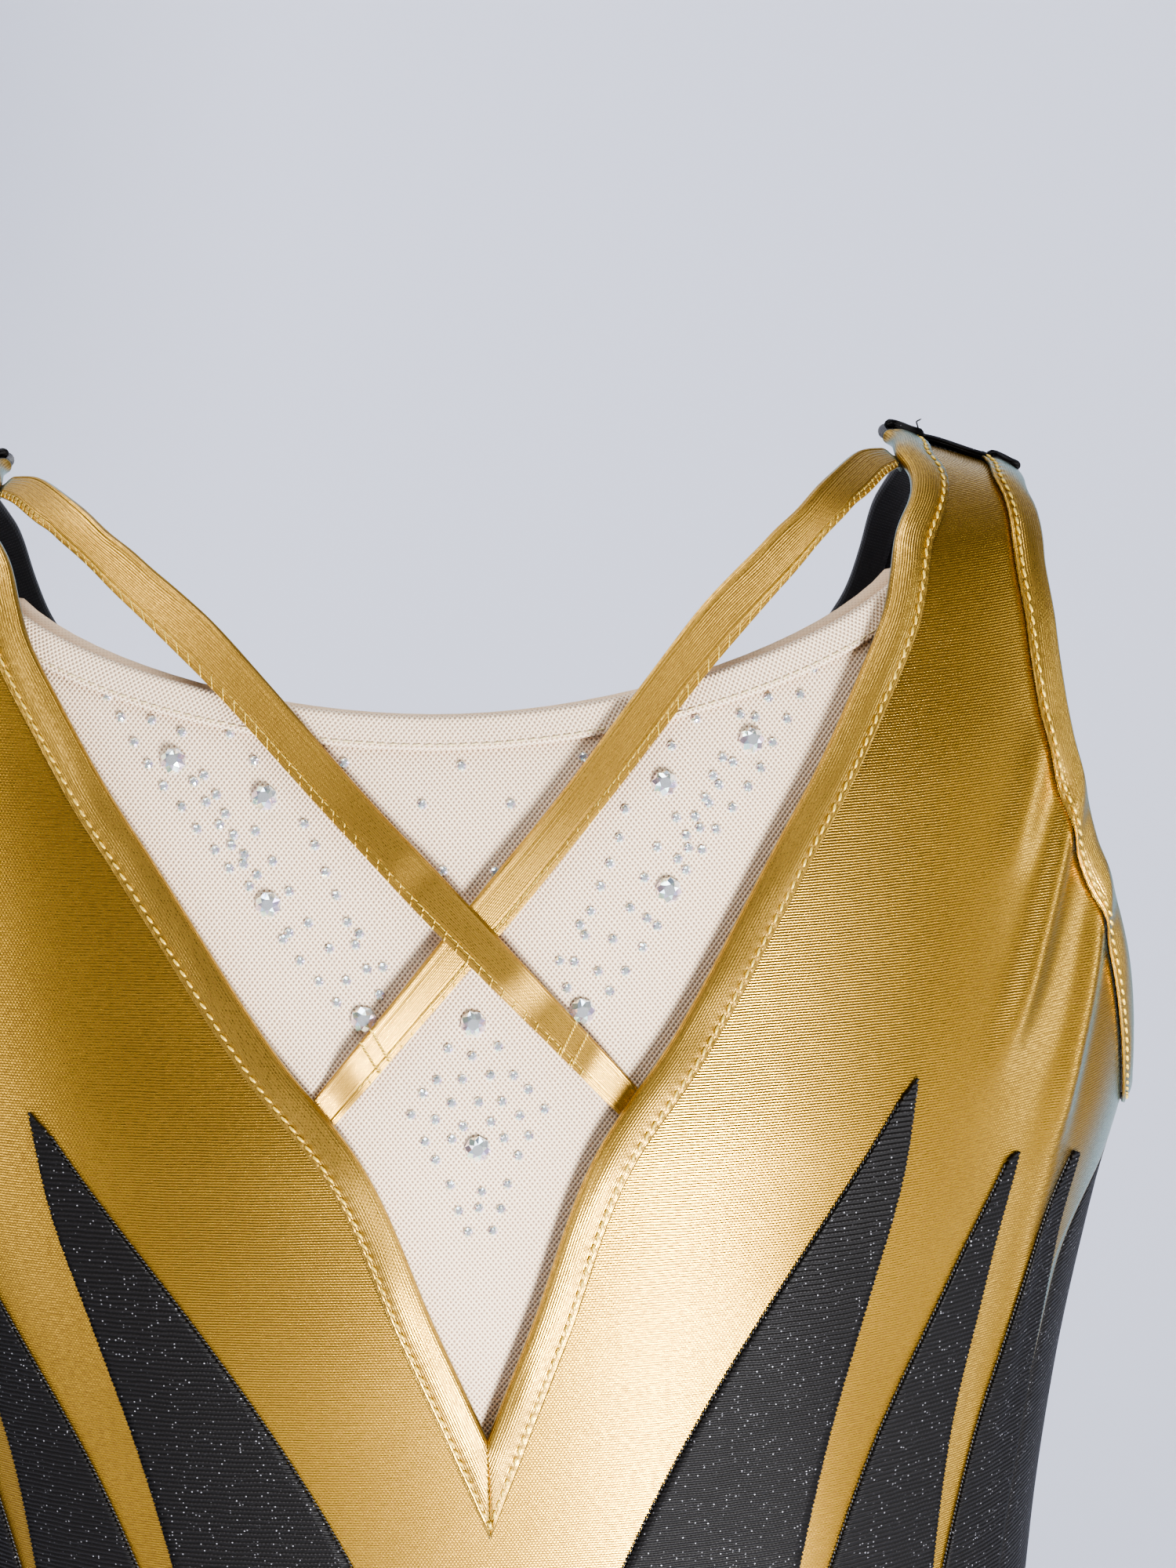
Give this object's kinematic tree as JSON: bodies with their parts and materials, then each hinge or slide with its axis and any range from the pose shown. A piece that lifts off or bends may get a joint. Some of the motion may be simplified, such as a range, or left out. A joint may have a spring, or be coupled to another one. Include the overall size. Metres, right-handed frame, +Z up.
{
  "type": "sleeveless gymnastics and cheer leotard",
  "caption": "Sleeveless one-piece cheer leotard: gold foil bodice with a deep V over a nude mesh yoke, crossed straps, black flames from the waist, black brief and back, flat-back stones.",
  "frame": {"origin": "on the centre plane, midway between the two shoulder seams, at their height beside the neck", "axes": "+Z up along the wearer's body, +X towards the wearer's left, so the front faces -Y"},
  "size_m": [0.2874, 0.1847, 0.5477],
  "materials": {
    "gold_foil": "metallic foil-printed stretch knit with fine cross ribs",
    "gold_binding": "metallic foil stretch knit, folded and topstitched in gold thread",
    "nude_mesh": "fine stretch mesh, matt",
    "nude_tricot": "smooth matt lining knit",
    "black_glitter": "black stretch knit with small silver glitter dots",
    "black_binding": "matt black stretch knit",
    "elastic": "white flat elastic, matt",
    "crystal": "faceted clear stone with a foil back and a pale rainbow coating"
  },
  "bodies": {
    "root": {"front_bodice": "gold_foil", "front_lining": "nude_tricot", "mesh_yoke": "nude_mesh", "mesh_yoke_hem": "nude_mesh", "lower_front_panel": "black_glitter", "back_panel": "black_glitter", "gusset_lining": "nude_tricot", "cross_strap_left": "gold_binding", "cross_strap_right": "gold_binding", "back_neck_binding": "black_binding", "neck_binding_left": "gold_binding", "armhole_binding_front_left": "gold_binding", "armhole_binding_back_left": "black_binding", "armhole_elastic_left": "elastic", "leg_binding_left": "black_binding", "leg_elastic_left": "elastic", "shoulder_seam_tape_left": "nude_tricot", "flame_inner_left": "black_glitter", "flame_middle_left": "black_glitter", "flame_outer_left": "black_glitter", "neck_binding_right": "gold_binding", "armhole_binding_front_right": "gold_binding", "armhole_binding_back_right": "black_binding", "armhole_elastic_right": "elastic", "leg_binding_right": "black_binding", "leg_elastic_right": "elastic", "shoulder_seam_tape_right": "nude_tricot", "flame_inner_right": "black_glitter", "flame_middle_right": "black_glitter", "flame_outer_right": "black_glitter", "large_stone_1": "crystal", "large_stone_2": "crystal", "large_stone_3": "crystal", "large_stone_4": "crystal", "large_stone_5": "crystal", "large_stone_6": "crystal", "large_stone_7": "crystal", "large_stone_8": "crystal", "large_stone_9": "crystal", "large_stone_10": "crystal"}
  },
  "joints": []
}
